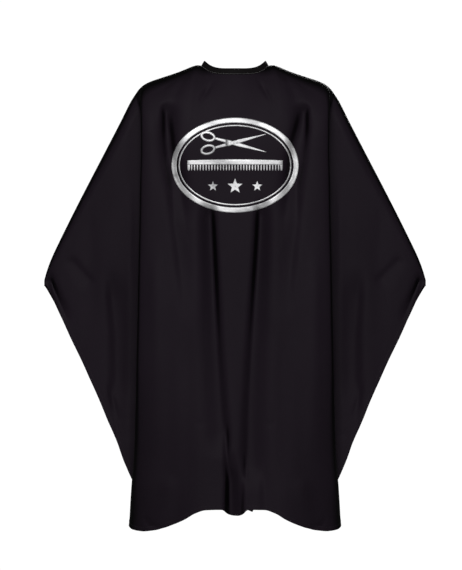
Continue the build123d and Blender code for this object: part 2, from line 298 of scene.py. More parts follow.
def arch_height(kind, share, x):
    """How far a column curves down before it hangs straight."""
    if kind == "panel":
        return ARCH_MIDDLE + (ARCH_SIDE - ARCH_MIDDLE) * sin(share * pi / 2) ** 2
    if kind == "tuck":
        return ARCH_SIDE + (ARCH_WING - ARCH_SIDE) * share
    return float(fold_radius(x)) * ARCH_OF_FOLD


def column_hem(kind, share, x, back):
    """Height of a column's hem, and the column's distance out there."""
    x_end = float(low_place(kind, share, NEAR_HEM, back)[0])
    if kind == "wing" and not back:
        x_end = x
        for _ in range(4):  # the wing leans, so its hem is found step by step
            hem = float(wing_hem(x_end))
            x_end = float(low_place(kind, share, hem, back)[0])
    elif back:
        hem = float(back_hem(x_end if kind != "wing" else x))
    elif kind == "panel":
        hem = float(front_hem(x_end))
    else:
        low, high = front_hem(FRONT_CORNER), wing_hem(WING_CORNER)
        hem = float(low + (high - low) * ease(share, 0.35, 1.0))
    return hem, x_end


def column_path(kind, share, back):
    """Points down one column, from the neck seam or the shoulder line to the hem."""
    top_x, top_y, top_z = column_top(kind, share, back)
    height = arch_height(kind, share, top_x)
    start = asin(min(top_y / float(low_place(kind, share, top_z - height, back)[1]), 1.0))
    points = []
    for row in range(ARCH_ROWS + 1):
        part = row / ARCH_ROWS
        angle = start + (pi / 2 - start) * part
        z = top_z - height * (cos(start) - cos(angle))
        x_low, y_low = low_place(kind, share, z, back)
        drawn = float(ease(part, 0, 1)) * ARCH_EASED + part * (1 - ARCH_EASED)
        x = top_x + (float(x_low) - top_x) * drawn
        y = top_y + (float(y_low) - top_y) * (sin(angle) - sin(start)) / max(1 - sin(start), 1e-6)
        points.append((x, y, z))
    arch_x, _, arch_end = points[-1]
    hem, x_end = column_hem(kind, share, arch_x, back)
    length = arch_end - min(hem, arch_end - SHORTEST_LEG)
    hem_scale = min(hem_slope(kind, share, x_end, back), length / HEM_PART)
    tail = [length - d * hem_scale for d in reversed(HEM_ROWS)]
    plain_rows = LEG_ROWS - len(tail)
    plain = [tail[0] * i / (plain_rows + 1) for i in range(1, plain_rows + 1)]
    for down in plain + tail:
        x_low, y_low = low_place(kind, share, arch_end - down, back)
        points.append((float(x_low), float(y_low), arch_end - down))
    return np.array(points)


def half_grid(back):
    return np.array([column_path(kind, share, back) for kind, share in column_table(back)])


COLUMNS = column_table(back=False)
front_half = half_grid(back=False)
back_half = half_grid(back=True)


# ---- folds in the cloth

# Each fold: points of its line (across, up and, where it isn't even, how strong it is there), half
# width, depth, and the side on which it is steep (-1 towards the wearer's right, 1 towards the left,
# 0 for a fold that is even on both sides). A positive depth is a valley, and a negative one a ridge.
FRONT_FOLDS = [
    ([(-170, -108, 0), (-163, -132, 1), (-162, -165, 0.9), (-161, -205, 0.6), (-157, -245, 0.6),
      (-147, -288, 0.8), (-145, -330, 0.6), (-140, -395, 0.4), (-129, -470, 0.45), (-120, -540, 0.3),
      (-114, -620, 0)], 12, 20, -1),
    ([(170, -108, 0), (164, -132, 1), (164, -165, 0.9), (161, -205, 0.6), (156, -245, 0.6),
      (146, -288, 0.8), (145, -330, 0.6), (142, -395, 0.4), (132, -470, 0.45), (124, -540, 0.3),
      (118, -620, 0)], 12, 20, 1),
    ([(-166, -125, 0), (-158, -175, 0.8), (-152, -225, 1), (-140, -285, 0.9), (-130, -320, 0.5),
      (-124, -385, 0)], 13, 18, 1),
    ([(164, -120, 0), (148, -175, 0.9), (137, -215, 1), (134, -280, 0.8), (128, -330, 0.4), (122, -390, 0)],
     13, 18, -1),
    ([(-138, -210), (-128, -300), (-112, -420)], 8, 3.5, -1),
    ([(132, -210), (124, -300), (110, -420)], 8, 3.5, 1),
    ([(-61, -338, 0), (-58, -380, 0.9), (-56, -430, 1), (-53, -500, 1), (-49, -590, 0.85), (-43, -700, 0.65),
      (-35, -820, 0.6), (-30, -880, 0.6), (-28, -945, 0)], 12, 28, 1),
    ([(-21, -860, 0), (-20, -905, 1), (-20, -965, 1), (-20, -1000, 0)], 6, 8, 0),
    ([(-12, -930, 0), (-12, -965, 0.4), (-12, -1000, 0.9), (-11, -1085, 1.2)], 9, 30, -1),
    ([(60, -338, 0), (59, -380, 0.9), (57, -430, 1), (53, -500, 1), (47, -590, 0.8), (40, -700, 0.6),
      (34, -820, 0.55), (31, -934, 0.6), (31, -1000, 0.4), (31, -1050, 0.1), (31, -1085, 0.1)], 12, 27, -1),
    ([(25, -930, 0), (25, -990, 1), (26, -1085, 1)], 3.4, 8, 0),
    ([(-34, -30), (-54, -62), (-80, -100)], 4.2, 5.5, 0),
    ([(42, -32), (62, -66), (82, -98)], 4.2, 5.5, 0),
    ([(-92, -26), (-130, -60), (-150, -110)], 10, 3, 0),
    ([(92, -26), (128, -58), (148, -112)], 10, 3, 0),
    ([(-84, -20), (-140, -54), (-190, -86)], 6, 2.4, 0),
    ([(84, -20), (138, -54), (188, -84)], 6, 2.4, 0),
    ([(-188, -420), (-184, -640), (-180, -1000)], 22, -5, 0),
    ([(190, -420), (186, -640), (182, -1000)], 22, -5, 0),
    ([(-112, -620), (-108, -800), (-116, -1060)], 22, 4, 0),
    ([(114, -620), (110, -800), (118, -1060)], 22, 4, 0),
    ([(-90, -852), (-84, -864), (-72, -868)], 5, 1.8, 0),
    ([(92, -852), (86, -864), (74, -868)], 5, 1.8, 0),
    ([(-152, -980), (-164, -1060), (-180, -1120)], 20, -4, 0),
    ([(152, -980), (166, -1065), (182, -1120)], 20, -4, 0),
    ([(-220, -1084), (-200, -1106), (-168, -1114)], 5, 3.6, 0),
    ([(220, -1086), (202, -1107), (170, -1114)], 5, 3.6, 0),
]
WING_FOLDS = [
    ([(-298, -490), (-292, -560), (-282, -660), (-280, -760), (-286, -850)], 16, 14, -1),
    ([(298, -490), (292, -560), (284, -660), (284, -770), (290, -850)], 16, 14, 1),
    ([(-290, -770), (-296, -800), (-284, -850)], 6, 4, 0),
    ([(292, -770), (298, -800), (286, -850)], 6, 4, 0),
    ([(-402, -472, 0), (-385, -484, 1), (-355, -520, 1), (-336, -540, 0)], 8, 5, 1),
    ([(402, -472, 0), (385, -484, 1), (352, -520, 1), (334, -540, 0)], 8, 5, -1),
    ([(-450, -508, 0), (-444, -532, 1), (-432, -562, 0.9), (-418, -592, 0.6), (-404, -628, 0)], 5, 17, -1),
    ([(450, -508, 0), (444, -532, 1), (432, -562, 0.9), (418, -592, 0.6), (404, -628, 0)], 5, 17, 1),
    ([(-250, -260), (-248, -520), (-256, -900)], 12, -3, 0),
    ([(250, -260), (248, -520), (256, -900)], 12, -3, 0),
    ([(-350, -330), (-344, -470), (-350, -640)], 18, 2.5, 0),
    ([(350, -330), (344, -470), (350, -640)], 18, 2.5, 0),
    ([(-292, -892), (-268, -899), (-244, -896)], 5, 2.6, 0),
    ([(292, -905), (266, -898), (244, -900)], 5, 2.6, 0),
    ([(-264, -962), (-254, -968), (-240, -966)], 4, 2, 0),
]
BACK_FOLDS = [
    ([(-70, -120), (-62, -300), (-56, -500), (-60, -720)], 14, 11, 1),
    ([(78, -130), (66, -320), (60, -520), (58, -720)], 14, 11, -1),
    ([(-128, -330), (-120, -520), (-122, -740)], 24, -9, 0),
    ([(132, -300), (124, -520), (120, -740)], 24, -9, 0),
    ([(-186, -120), (-178, -320), (-176, -560), (-182, -760)], 13, 11, -1),
    ([(188, -110), (180, -330), (176, -540), (184, -760)], 13, 11, 1),
    ([(-30, -60), (-52, -110), (-60, -170)], 7, 3.5, 0),
    ([(32, -60), (54, -110), (60, -170)], 7, 3.5, 0),
    ([(-268, -180), (-262, -420), (-272, -780)], 12, 8, 1),
    ([(268, -180), (262, -430), (272, -780)], 12, 8, -1),
    ([(-330, -330), (-322, -520), (-330, -800)], 16, -5, 0),
    ([(330, -330), (324, -520), (332, -800)], 16, -5, 0),
    ([(-392, -440), (-380, -560), (-372, -700)], 10, 5, -1),
    ([(392, -440), (382, -560), (372, -700)], 10, 5, 1),
]
GENTLE = 2.4  # a one-sided fold is this much wider on its gentle side


def fold_depth(x, z, folds):
    """Depth of a set of folds at points of the cloth. Each fold fades in and out at its ends."""
    total = np.zeros(x.shape)
    for path, width, depth, steep in folds:
        path = np.array(path, float)
        steps = np.diff(path[:, :2], axis=0)
        lengths = np.hypot(steps[:, 0], steps[:, 1])
        before = np.concatenate([[0], np.cumsum(lengths)])
        best = np.full(x.shape, np.inf)
        place = np.zeros(x.shape)
        side = np.zeros(x.shape)
        for start, step, length, gone in zip(path, steps, lengths, before):
            dx = x - start[0]
            dz = z - start[1]
            part = np.clip((dx * step[0] + dz * step[1]) / length ** 2, 0, 1)
            off_x = dx - part * step[0]
            off_z = dz - part * step[1]
            gap = np.hypot(off_x, off_z)
            closer = gap < best
            best = np.where(closer, gap, best)
            place = np.where(closer, (gone + part * length) / before[-1], place)
            side = np.where(closer, off_x * -step[1] + off_z * step[0], side)
        spread = width * (0.75 + 0.5 * place)
        if steep:
            spread = np.where(side * steep > 0, spread, spread * GENTLE)
        if path.shape[1] > 2:
            fade = smooth_curve(list(zip(before / before[-1], path[:, 2])))(place)
        else:
            fade = ease(place, 0.0, 0.25) * (1 - 0.6 * ease(place, 0.75, 1.0))
        total += depth * fade * np.exp(-((best / spread) ** 2))
    return total


HEM_WAVES = [(3.2, 31.0, 0.7, np.inf), (2.2, 17.3, 2.1, 260.0)]  # height, length, shift, slant


def hem_wave(x, z, level):
    """Slow in-and-out wave that grows down to a hem at about that level."""
    wave = sum(height * np.sin(x / length + shift + z / slant) for height, length, shift, slant in HEM_WAVES)
    return ease(-z, 420, -level) * wave


def flat_at_label(x, z):
    """1 where the care label hangs from the front hem, so that the cloth lies flat behind it."""
    return ease(x, 15, 23.5) * (1 - ease(x, 54, 74)) * ease(-z, 960, 1030)


def sheet(half, sign, back):
    """One side's columns of the front or the back, folds included. The sign is -1 for the right side."""
    on_wing = np.array([{"panel": 0.0, "tuck": share}.get(kind, 1.0) for kind, share in COLUMNS])[:, None]
    grid = half * (sign, 1 if back else -1, 1)
    x, _, z = np.moveaxis(grid, -1, 0)
    if back:
        depth = -(fold_depth(x, z, BACK_FOLDS) + hem_wave(x + 40, z, -740))
    else:
        body = (fold_depth(x, z, FRONT_FOLDS) + hem_wave(x, z, -1090)) * (1 - flat_at_label(x, z))
        wing = fold_depth(x, z, WING_FOLDS) + 0.6 * hem_wave(x, z, -900)
        depth = body * (1 - ease(on_wing, 0.0, 0.25)) + wing * ease(on_wing, 0.75, 1.0)
    top = ease(z[:, :1] - z, 4, 60)  # nothing moves along the shoulder line itself
    edge_hold = 1.0 - 0.85 * (on_wing > 0) * (on_wing < 1)
    grid[..., 1] += depth * top * edge_hold
    return grid


# ---- one master cloth

def grid_quads(ids):
    """Quads between the neighbours in a grid of vertex numbers."""
    corners = ids[:-1, :-1], ids[1:, :-1], ids[1:, 1:], ids[:-1, 1:]
    return np.stack([corner.ravel() for corner in corners], axis=1)


class Cloth:
    """The whole cape cloth as one welded mesh, with the grid that each vertex came from."""

    def __init__(self, sheets):
        self.ids = {}
        points = []
        lookup = {}
        for name, grid in sheets.items():
            ids = np.zeros(grid.shape[:2], int)
            for place in np.ndindex(*ids.shape):
                key = tuple(np.round(grid[place] * 200).astype(int))
                if key not in lookup:
                    lookup[key] = len(points)
                    points.append(grid[place])
                ids[place] = lookup[key]
            self.ids[name] = ids
        self.points = np.array(points)

    def faces(self, name, first=0, last=None):
        """Quads of a range of one sheet's columns, facing out of the cape."""
        quads = grid_quads(self.ids[name][first:last])
        return quads if name in ("front_right", "back_left") else quads[:, [0, 3, 2, 1]]

    def hem_share(self):
        """1 inside a hem, 0 on the plain cloth, for every vertex."""
        share = np.zeros(len(self.points))
        rows = len(HEM_ROWS) - 1
        for name, ids in self.ids.items():
            share[ids[:, -rows:]] = 1.0
            if name.startswith("back"):
                share[ids[:rows]] = 1.0
        return share

    def vertex_normals(self):
        quads = np.concatenate([self.faces(name) for name in self.ids])
        corner = [self.points[quads[:, i]] for i in range(4)]
        across = np.cross(corner[2] - corner[0], corner[3] - corner[1])
        total = np.zeros_like(self.points)
        for i in range(4):
            np.add.at(total, quads[:, i], across)
        return total / np.maximum(np.linalg.norm(total, axis=1, keepdims=True), 1e-12)


cloth = Cloth({
    "front_right": sheet(front_half, -1, back=False), "front_left": sheet(front_half, 1, back=False),
    "back_right": sheet(back_half, -1, back=True), "back_left": sheet(back_half, 1, back=True),
})
TUCK_LINE = PANEL_COLUMNS + 10  # column of the tuck's innermost line, where front and wing meet
FRONT_COLUMNS = (0, TUCK_LINE + 1)
WING_FRONT = (TUCK_LINE, None)
WING_BACK = (PANEL_COLUMNS, None)
BACK_COLUMNS = (0, PANEL_COLUMNS + 1)


# ---- letting the cloth settle

SIM_FRAMES = 28
SIM_SLACK = 0.014  # the sheet is this much wider than the shape it hangs in
SIM_CAP = 6.0  # no point of the cloth moves further than this
SIM_HOLD = 0.35  # how firmly the open cloth keeps to that shape
SIM_FIRM = 0.9  # and the cloth along the shoulder and at the turned-back edge
TIP_FIRM, TIP_COLUMNS = 0.95, 9
SIM_SETTINGS = {
    "quality": 6, "mass": 0.12, "tension_stiffness": 18, "compression_stiffness": 18, "shear_stiffness": 6,
    "bending_stiffness": 1.2, "vertex_group_mass": "held", "pin_stiffness": 1.0,
}


def coarse_part(grid):
    return grid[::2, ::2]


def hold(columns, rows):
    """How firmly a sheet's vertices are held: most along the shoulder, the turned-back edge and the tip."""
    weight = np.full((columns, rows), SIM_HOLD)
    weight += SIM_FIRM * (1 - ease(np.arange(rows) / (rows - 1), 0.0, 0.14))
    weight[PANEL_COLUMNS:PANEL_COLUMNS + TUCK_COLUMNS + 2] = SIM_FIRM
    at_tip = ease(np.arange(columns), columns - TIP_COLUMNS, columns - 1)[:, None]
    return np.clip(np.maximum(weight, at_tip * TIP_FIRM), 0, 1)


def between(values, axis):
    """Insert a value between each pair of neighbours, on a smooth curve through them."""
    values = np.moveaxis(values, axis, 0)
    ahead = np.concatenate([values[1:], values[-1:]])
    behind = np.concatenate([values[:1], values[:-1]])
    further = np.concatenate([ahead[1:], ahead[-1:]])
    middle = (9 * (values + ahead) - behind - further) / 16
    out = np.empty((2 * len(values) - 1,) + values.shape[1:])
    out[0::2] = values
    out[1::2] = middle[:-1]
    return np.moveaxis(out, 0, axis)


def settle():
    """Run a cloth simulation on every second row and column, and carry its movement to the whole cloth."""
    used = np.unique(np.concatenate([coarse_part(ids).ravel() for ids in cloth.ids.values()]))
    new_id = np.full(len(cloth.points), -1)
    new_id[used] = np.arange(len(used))
    faces = []
    weights = np.zeros(len(used))
    for ids in cloth.ids.values():
        small = new_id[coarse_part(ids)]
        faces += grid_quads(small).tolist()
        np.maximum.at(weights, small.ravel(), coarse_part(hold(*ids.shape)).ravel())
    mesh = bpy.data.meshes.new("settling")
    mesh.from_pydata((cloth.points[used] * MM).tolist(), [], faces)
    mesh.update()
    sheet = bpy.data.objects.new("settling", mesh)
    scene = bpy.context.scene
    scene.collection.objects.link(sheet)
    group = sheet.vertex_groups.new(name="held")
    for index, weight in enumerate(weights):
        group.add([index], float(weight), "REPLACE")
    modifier = sheet.modifiers.new("settle", "CLOTH")
    modifier.collision_settings.use_collision = False
    sheet.shape_key_add(name="hung")
    wide = sheet.shape_key_add(name="wide")
    slack = cloth.points[used] * MM * np.array([1 + SIM_SLACK, 1 + SIM_SLACK, 1])
    wide.data.foreach_set("co", slack.ravel())
    wide.value = 0
    modifier.settings.rest_shape_key = wide
    for key, value in SIM_SETTINGS.items():
        setattr(modifier.settings, key, value)
    scene.frame_start = 1
    scene.frame_end = SIM_FRAMES
    for number in range(1, SIM_FRAMES + 1):
        scene.frame_set(number)
    settled = sheet.evaluated_get(bpy.context.evaluated_depsgraph_get())
    moved = np.array([v.co for v in settled.data.vertices], float) / MM - cloth.points[used]
    scene.frame_set(1)
    bpy.data.objects.remove(sheet)
    bpy.data.meshes.remove(mesh)
    size = np.linalg.norm(moved, axis=1, keepdims=True)
    moved *= np.minimum(1, SIM_CAP / np.maximum(size, 1e-9))
    shift = np.zeros_like(cloth.points)
    for ids in cloth.ids.values():
        shift[ids] = between(between(moved[new_id[coarse_part(ids)]], 0), 1)
    cloth.points += shift


settle()
cloth.hem = cloth.hem_share()
cloth.normals = cloth.vertex_normals()


# ---- meshes

CLOTH_HALF = 0.45
HEM_OUT = 0.40  # how much the folded hem stands out on each side
HEM_IN = 0.90


def add_mesh(name, points, faces, material):
    """New piece from points in millimetres."""
    mesh = bpy.data.meshes.new(name)
    mesh.from_pydata((np.asarray(points, float) * MM).tolist(), [], [list(map(int, f)) for f in faces])
    mesh.update()
    mesh.polygons.foreach_set("use_smooth", [True] * len(mesh.polygons))
    mesh.materials.append(material)
    piece = bpy.data.objects.new(name, mesh)
    bpy.context.scene.collection.objects.link(piece)
    return piece


def slab_faces(quads, count):
    """Outer, inner and rim faces of a sheet made of two layers of count points."""
    edges = np.concatenate([quads[:, [i, (i + 1) % 4]] for i in range(4)]).tolist()
    shared = {(v, u) for u, v in edges}
    rim = [(v, u, u + count, v + count) for u, v in edges if (u, v) not in shared]
    return quads.tolist() + (quads[:, ::-1] + count).tolist() + rim


def tube_faces(rings, count, closed=False):
    """Faces round rings of count points: closed on itself, or capped at its ends."""
    ids = np.arange(rings * count).reshape(rings, count)
    around = np.concatenate([ids, ids[:, :1]], axis=1)
    if closed:
        return grid_quads(np.concatenate([around, around[:1]])).tolist()
    return grid_quads(around).tolist() + [ids[0].tolist(), ids[-1, ::-1].tolist()]


def turned(faces, first=0):
    """The same faces, facing the other way, on points that start at first."""
    return [[first + v for v in reversed(face)] for face in faces]


def shaped_piece(name, parts, material):
    """A thick piece of the master cloth, shaded as part of the whole."""
    quads = np.concatenate([cloth.faces(*part) for part in parts])
    used, quads = np.unique(quads, return_inverse=True)
    quads = quads.reshape(-1, 4)
    base = cloth.points[used]
    out = cloth.normals[used]
    hem = cloth.hem[used][:, None]
    points = np.concatenate([
        base + out * (CLOTH_HALF + HEM_OUT * hem),
        base - out * (CLOTH_HALF + HEM_IN * hem),
    ])
    piece = add_mesh(name, points, slab_faces(quads, len(used)), material)
    mesh = piece.data
    loops = np.zeros(len(mesh.loops), int)
    mesh.loops.foreach_get("vertex_index", loops)
    normals = np.concatenate([out, -out])[loops]
    rim = [polygon.normal[:] for polygon in mesh.polygons[2 * len(quads):]]
    normals[8 * len(quads):] = np.repeat(rim, 4, axis=0)
    mesh.normals_split_custom_set(normals.tolist())
    return piece


# ---- materials

def set_inputs(node, values):
    for key, value in values.items():
        node.inputs[key].default_value = value


class Finish:
    """A node material, built up by name. Coordinates are the row frame's, in metres."""

    def __init__(self, name, color, roughness, metallic=0.0, specular=0.3):
        self.material = bpy.data.materials.new(name)
        self.material.use_nodes = True
        self.tree = self.material.node_tree
        self.shader = self.tree.nodes["Principled BSDF"]
        set_inputs(self.shader, {
            "Base Color": (*color, 1), "Roughness": roughness, "Metallic": metallic,
            "Specular IOR Level": specular,
        })
        self.place = self.tree.nodes.new("ShaderNodeTexCoord").outputs["Object"]
        self.normal = None

    def add(self, kind, values, **settings):
        node = self.tree.nodes.new("ShaderNode" + kind)
        for key, value in settings.items():
            setattr(node, key, value)
        set_inputs(node, values)
        return node

    def link(self, source, target):
        self.tree.links.new(source, target)

    def noise(self, scale, detail=3.0, stretch=(1, 1, 1)):
        node = self.add("TexNoise", {"Scale": scale, "Detail": detail, "Roughness": 0.55})
        mapping = self.add("Mapping", {"Scale": stretch})
        self.link(self.place, mapping.inputs["Vector"])
        self.link(mapping.outputs["Vector"], node.inputs["Vector"])
        return node.outputs["Fac"]

    def wave(self, pitch, direction, distortion):
        """Bands that lie the pitch apart. The node's own are 2 pi / 20 apart at scale 1."""
        node = self.add(
            "TexWave", {"Scale": 2 * pi / (20 * pitch), "Distortion": distortion},
            wave_type="BANDS", bands_direction=direction)
        self.link(self.place, node.inputs["Vector"])
        return node.outputs["Fac"]

    def math(self, operation, a, b):
        node = self.add("Math", {}, operation=operation)
        for socket, value in zip(node.inputs, (a, b)):
            if isinstance(value, (int, float)):
                socket.default_value = value
            else:
                self.link(value, socket)
        return node.outputs[0]

    def weave(self, pitch, distortion):
        return self.math("MULTIPLY", self.wave(pitch, "X", distortion), self.wave(pitch, "Z", distortion))

    def bump(self, height, strength, distance):
        node = self.add("Bump", {"Strength": strength, "Distance": distance})
        self.link(height, node.inputs["Height"])
        if self.normal is not None:
            self.link(self.normal, node.inputs["Normal"])
        self.normal = node.outputs["Normal"]
        self.link(self.normal, self.shader.inputs["Normal"])

    def ramp(self, factor, stops):
        node = self.add("ValToRGB", {})
        elements = node.color_ramp.elements
        for index, (position, color) in enumerate(stops):
            element = elements[index] if index < 2 else elements.new(position)
            element.position = position
            element.color = (*color, 1)
        self.link(factor, node.inputs["Fac"])
        return node.outputs["Color"]

    def color(self, factor, stops):
        self.link(self.ramp(factor, stops), self.shader.inputs["Base Color"])

    def roughness(self, factor, low, high):
        spread = self.math("MULTIPLY", factor, high - low)
        self.link(self.math("ADD", spread, low), self.shader.inputs["Roughness"])

    def painted_edge_shade(self, start, end):
        """Painted shade: the base colour darkens where the cloth is seen edge-on, at its turned edges and the
        sides of its folds.
        """
        facing = self.add("LayerWeight", {"Blend": 0.5}).outputs["Facing"]
        shadow = self.ramp(facing, [(start, (1, 1, 1)), (end, (0, 0, 0))])
        mix = self.add("Mix", {}, data_type="RGBA", blend_type="MULTIPLY")
        mix.inputs[0].default_value = 1.0
        base = self.shader.inputs["Base Color"]
        self.link(base.links[0].from_socket, mix.inputs[6])
        self.link(shadow, mix.inputs[7])
        self.link(mix.outputs[2], base)

    def sheen(self, weight, tint):
        set_inputs(self.shader, {"Sheen Weight": weight, "Sheen Tint": (*tint, 1), "Sheen Roughness": 0.4})


def shade(color, factor):
    return tuple(channel * factor for channel in color)


def cape_finish():
    """Fine smooth polyester: plain weave, faint creasing and a low satin sheen."""
    color = (0.0120, 0.0083, 0.0128)
    f = Finish("cape_polyester", color, 0.6, specular=0.06)
    cloudy = f.noise(5.0, detail=5, stretch=(1, 1, 0.4))
    f.color(cloudy, [(0.25, shade(color, 0.86)), (0.75, shade(color, 1.12))])
    # painted shade: edge-on cloth is darkened in the base colour
    f.painted_edge_shade(0.32, 0.58)
    f.roughness(f.noise(14, detail=4, stretch=(1, 1, 0.5)), 0.54, 0.70)
    f.sheen(0.012, (0.55, 0.5, 0.56))
    f.bump(f.noise(11, detail=4, stretch=(1, 1, 0.35)), 0.30, 0.004)
    f.bump(f.noise(70, stretch=(1, 1, 0.6)), 0.10, 0.0008)
    f.bump(f.weave(0.0007, 0.4), 0.25, 0.00012)
    return f.material


def band_finish():
    """The collar's closer, duller cloth."""
    color = (0.0054, 0.0047, 0.0049)
    f = Finish("band_polyester", color, 0.66, specular=0.06)
    f.color(f.noise(40, detail=4), [(0.3, shade(color, 0.8)), (0.7, shade(color, 1.2))])
    f.roughness(f.noise(90), 0.55, 0.72)
    f.sheen(0.015, (0.6, 0.55, 0.6))
    f.bump(f.noise(120), 0.25, 0.0006)
    f.bump(f.weave(0.0008, 0.5), 0.35, 0.00015)
    return f.material


def tape_finish():
    """Ribbed woven tape of the loop and the label."""
    f = Finish("woven_tape", (0.006, 0.005, 0.006), 0.6, specular=0.08)
    f.color(f.noise(200), [(0.3, (0.004, 0.003, 0.004)), (0.7, (0.007, 0.006, 0.007))])
    f.bump(f.wave(0.0011, "Z", 0.3), 0.5, 0.0002)
    f.bump(f.wave(0.0007, "X", 0.6), 0.3, 0.0001)
    return f.material


def thread_finish(name, color):
    """Twisted polyester thread, a shade lighter than the cloth."""
    f = Finish(name, color, 0.5, specular=0.2)
    f.color(f.noise(400), [(0.3, shade(color, 0.75)), (0.7, shade(color, 1.3))])
    f.bump(f.wave(0.0005, "DIAGONAL", 0.3), 0.5, 0.0001)
    return f.material


def print_finish():
    """Silver transfer film, brighter and duller in soft patches."""
    f = Finish("silver_film", (0.62, 0.62, 0.64), 0.42, metallic=0.35, specular=0.5)
    patches = f.noise(16, detail=4, stretch=(0.7, 1, 1.6))
    f.color(patches, [(0.30, (0.22, 0.22, 0.23)), (0.48, (0.62, 0.62, 0.63)), (0.62, (0.86, 0.86, 0.87))])
    f.roughness(f.noise(60, detail=4), 0.34, 0.52)
    f.bump(f.noise(900, detail=2), 0.12, 0.0001)
    f.bump(f.noise(130), 0.15, 0.0004)
    return f.material


def metal_finish(name, color, roughness):
    """Smooth metal with fine marks."""
    f = Finish(name, color, roughness, metallic=1.0, specular=0.5)
    f.color(f.noise(160, detail=4), [(0.3, shade(color, 0.82)), (0.7, color)])
    f.roughness(f.noise(300, detail=4), roughness * 0.7, roughness * 1.4)
    f.bump(f.noise(1500, detail=2), 0.08, 0.00005)
    return f.material


def interlining_finish():
    """Bonded, off-white non-woven stiffener."""
    f = Finish("nonwoven_interlining", (0.72, 0.71, 0.66), 0.9, specular=0.2)
    f.color(f.noise(500, detail=4), [(0.3, (0.62, 0.61, 0.56)), (0.7, (0.80, 0.79, 0.75))])
    f.bump(f.noise(800, detail=4), 0.5, 0.0003)
    return f.material


CAPE = cape_finish()
BAND = band_finish()
TAPE = tape_finish()
THREAD = thread_finish("hem_thread", (0.026, 0.022, 0.027))
BAND_THREAD = thread_finish("band_thread", (0.15, 0.145, 0.15))
SILVER = print_finish()
NICKEL = metal_finish("nickel_plate", (0.74, 0.74, 0.75), 0.24)
SPRING = metal_finish("spring_steel", (0.55, 0.56, 0.58), 0.32)
LINING = interlining_finish()


# ---- the cloth's pieces


def follow(piece, body):
    """Attach a piece to its body. Pieces of the wings and back halves are only baked in place, not attached.
    """
    if body.endswith("wing"):
        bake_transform(piece)
    elif body.endswith("back"):
        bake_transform(piece)
    else:
        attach(piece, body)


def stand_in(piece, node_name, body):
    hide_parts(node_name)
    follow(piece, body)


# Each cloth piece, the CAD node that it stands for, its body and the parts of the sheets it is cut from.
FRONT_PARTS = [("front_right", *FRONT_COLUMNS), ("front_left", *FRONT_COLUMNS)]
CLOTH_PIECES = [("front", "front_panel", "cape", FRONT_PARTS)]
for side in ("left", "right"):
    CLOTH_PIECES += [
        (f"{side}_wing", f"{side}_wing_panel", f"{side}_wing",
         [(f"front_{side}", *WING_FRONT), (f"back_{side}", *WING_BACK)]),
        (f"{side}_back", f"{side}_back_panel", f"{side}_back", [(f"back_{side}", *BACK_COLUMNS)]),
    ]

for name, node_name, body, parts in CLOTH_PIECES:
    stand_in(shaped_piece(f"{name}_cloth", parts, CAPE), node_name, body)


# ---- stitching

STITCH_LENGTH = 2.7
STITCH_PITCH = 3.4
HEM_THREAD_RADIUS = 0.24
BAND_THREAD_RADIUS = 0.34
STITCH_STATIONS = 5  # rings of points along a stitch
STITCH_SIDES = 6


def stitching(name, runs, material, radius):
    """Rows of short stitches, each an arch that is thinner and lower where it enters the cloth.

    A run is a line of points with the surface's normals.
    """
    arch = np.sin(np.linspace(0, pi, STITCH_STATIONS))
    thick = radius * (0.55 + 0.45 * arch)
    turns = [2 * pi * m / STITCH_SIDES for m in range(STITCH_SIDES)]
    tube = tube_faces(STITCH_STATIONS, STITCH_SIDES)
    points = []
    faces = []
    for line, normals in runs:
        gaps = np.linalg.norm(np.diff(line, axis=0), axis=1)
        at = np.concatenate([[0], np.cumsum(gaps)])
        for start in np.arange(STITCH_PITCH, at[-1] - STITCH_PITCH, STITCH_PITCH):
            where = start + np.linspace(0, STITCH_LENGTH, STITCH_STATIONS)
            centre = np.stack([np.interp(where, at, line[:, i]) for i in range(3)], axis=1)
            normal = np.stack([np.interp(where, at, normals[:, i]) for i in range(3)], axis=1)
            normal /= np.linalg.norm(normal, axis=1, keepdims=True)
            along = np.gradient(centre, axis=0)
            along /= np.linalg.norm(along, axis=1, keepdims=True)
            side = np.cross(along, normal)
            centre = centre + normal * (arch * radius * 1.1 - radius * 0.5)[:, None]
            faces += turned(tube, len(points))
            for point, out, across, half in zip(centre, normal, side, thick):
                points += [point + half * (out * cos(turn) + across * sin(turn)) for turn in turns]
    return add_mesh(name, points, faces, material)


HEM_STITCH = 9.4  # from the edge to the row of stitches
STITCHED_ROW = 3  # the stitches lie between this row of a hem and the one before
BEFORE, AFTER = HEM_ROWS[STITCHED_ROW - 1:STITCHED_ROW + 1]
STITCH_SHARE = (HEM_STITCH - BEFORE) / (AFTER - BEFORE)


def surface_line(low, high):
    """Line of a hem's stitches between two rows of vertices, with normals, on the cloth's outer face."""
    normals = cloth.normals[low] * (1 - STITCH_SHARE) + cloth.normals[high] * STITCH_SHARE
    line = cloth.points[low] * (1 - STITCH_SHARE) + cloth.points[high] * STITCH_SHARE
    return line + normals * (CLOTH_HALF + HEM_OUT), normals


def hem_line(sheet, first, last):
    ids = cloth.ids[sheet][first:last]
    return surface_line(ids[:, -STITCHED_ROW], ids[:, -STITCHED_ROW - 1])


def slit_line(sheet):
    ids = cloth.ids[sheet][:, ARCH_ROWS // 2:-3]
    return surface_line(ids[STITCHED_ROW - 1], ids[STITCHED_ROW])


for name, _, body, parts in CLOTH_PIECES:
    lines = [hem_line(*part) for part in parts]
    if body.endswith("back"):
        lines.append(slit_line(parts[0][0]))
    follow(stitching(f"{name}_hem_stitches", lines, THREAD, HEM_THREAD_RADIUS), body)


# ---- neck band and closure tab

# Degrees round the ring: the band goes round once, climbs over its own inner end and stops where
# the tab starts.
UNDER_END, OUTER_END = -18.0, 343.7
LAP_START, LAP_END = 310.0, 338.0
TAB_START, TAB_END = -14.9, 13.0
BAND_STATIONS, TAB_STATIONS = 420, 60

